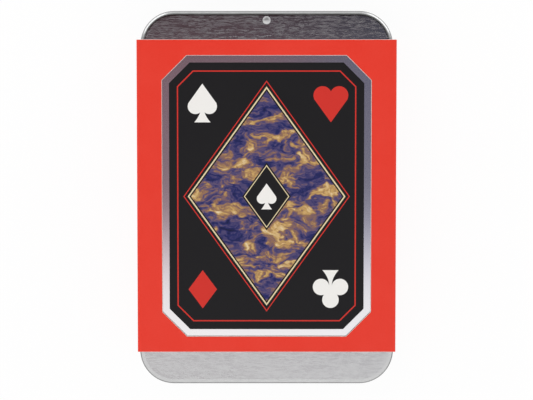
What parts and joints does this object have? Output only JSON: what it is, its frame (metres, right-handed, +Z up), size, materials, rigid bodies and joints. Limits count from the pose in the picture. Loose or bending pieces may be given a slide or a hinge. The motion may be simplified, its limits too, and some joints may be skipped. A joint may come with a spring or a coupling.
{
  "type": "deck of playing cards in a slide-lid tin",
  "caption": "Slide-lid tinplate tin that holds a deck of playing cards, inside a card-stock belly band whose front window shows a printed label on the lid.",
  "frame": {"origin": "under the middle of the tin, in the plane of the band's back, on which it rests", "axes": "+X across the tin, +Y along it towards the head end with the rolled rim and the detent dome, +Z up through the lid"},
  "size_m": [0.0698, 0.101, 0.0191],
  "materials": {
    "tinplate": "bare tinplate brushed across its width, satin",
    "label": "thin printed sheet, near black, satin",
    "band": "coated card stock, red outside, white at the cut edges and inside",
    "card_stock": "coated playing-card stock, smooth satin"
  },
  "bodies": {
    "tin": {"tin_base": "tinplate"},
    "lid": {"slide_lid": "tinplate", "lid_label": "label"},
    "band": {"paper_band": "band"},
    "deck": {"card_spades_ace": "card_stock", "card_spades_two": "card_stock", "card_spades_three": "card_stock", "card_spades_four": "card_stock", "card_spades_five": "card_stock", "card_spades_six": "card_stock", "card_spades_seven": "card_stock", "card_spades_eight": "card_stock", "card_spades_nine": "card_stock", "card_spades_ten": "card_stock", "card_spades_jack": "card_stock", "card_spades_queen": "card_stock", "card_spades_king": "card_stock", "card_hearts_ace": "card_stock", "card_hearts_two": "card_stock", "card_hearts_three": "card_stock", "card_hearts_four": "card_stock", "card_hearts_five": "card_stock", "card_hearts_six": "card_stock", "card_hearts_seven": "card_stock", "card_hearts_eight": "card_stock", "card_hearts_nine": "card_stock", "card_hearts_ten": "card_stock", "card_hearts_jack": "card_stock", "card_hearts_queen": "card_stock", "card_hearts_king": "card_stock", "card_clubs_ace": "card_stock", "card_clubs_two": "card_stock", "card_clubs_three": "card_stock", "card_clubs_four": "card_stock", "card_clubs_five": "card_stock", "card_clubs_six": "card_stock", "card_clubs_seven": "card_stock", "card_clubs_eight": "card_stock", "card_clubs_nine": "card_stock", "card_clubs_ten": "card_stock", "card_clubs_jack": "card_stock", "card_clubs_queen": "card_stock", "card_clubs_king": "card_stock", "card_diamonds_ace": "card_stock", "card_diamonds_two": "card_stock", "card_diamonds_three": "card_stock", "card_diamonds_four": "card_stock", "card_diamonds_five": "card_stock", "card_diamonds_six": "card_stock", "card_diamonds_seven": "card_stock", "card_diamonds_eight": "card_stock", "card_diamonds_nine": "card_stock", "card_diamonds_ten": "card_stock", "card_diamonds_jack": "card_stock", "card_diamonds_queen": "card_stock", "card_diamonds_king": "card_stock", "card_joker_one": "card_stock", "card_joker_two": "card_stock"}
  },
  "joints": [
    {"name": "lid_slide", "type": "slide", "parent": "tin", "child": "lid", "axis": [0, -1, 0], "range_m": [0, 0.102]},
    {"name": "band_slide", "type": "slide", "parent": "tin", "child": "band", "axis": [0, 1, 0], "range_m": [-0.094, 0.094]},
    {"name": "deck_lift", "type": "slide", "parent": "tin", "child": "deck", "axis": [0, 0, 1], "range_m": [0, 0.0008]}
  ]
}
